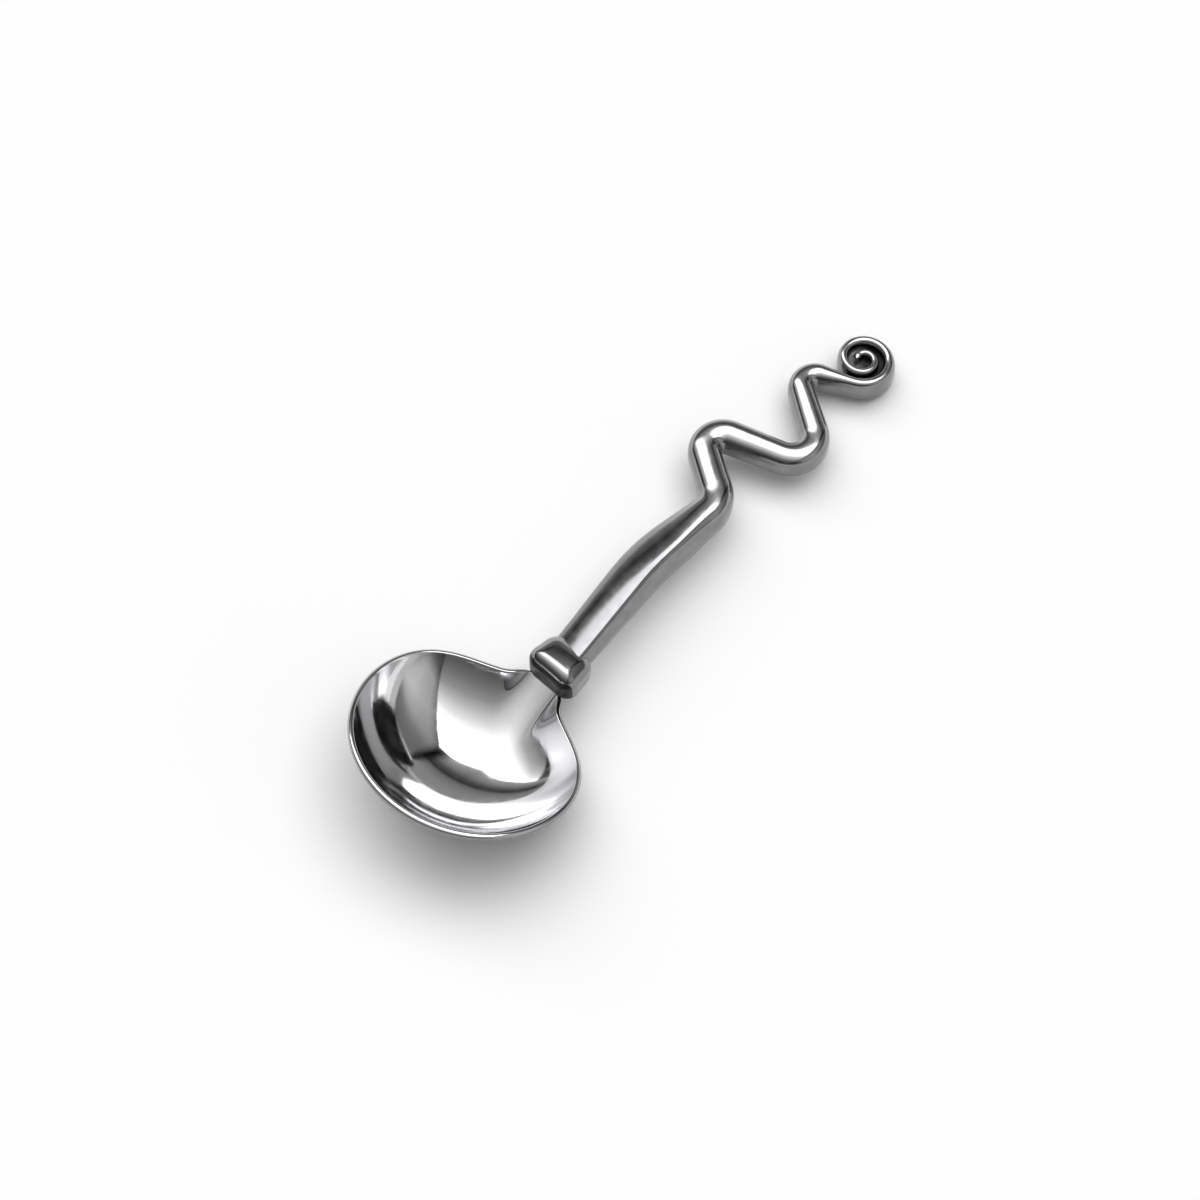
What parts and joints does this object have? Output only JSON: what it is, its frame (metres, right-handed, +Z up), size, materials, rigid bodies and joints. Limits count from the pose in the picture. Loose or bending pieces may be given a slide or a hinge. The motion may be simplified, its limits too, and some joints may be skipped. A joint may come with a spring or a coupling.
{
  "type": "sugar ladle",
  "caption": "Small ladle with a round bowl, a square collar and a wavy rod handle that ends in a flat scroll, for serving sugar or sauce.",
  "frame": {"origin": "the point where the underside of the bowl touches the table, with the ladle lying as it rests, bowl up", "axes": "+Z up from the table, +X from the bowl towards the scroll, along the line that the handle follows, +Y to the left"},
  "size_m": [0.1512, 0.0482, 0.0246],
  "materials": {
    "polished_metal": "mirror-polished cast metal with dark, unpolished recesses"
  },
  "bodies": {
    "root": {"sugar_ladle": "polished_metal"}
  },
  "joints": []
}
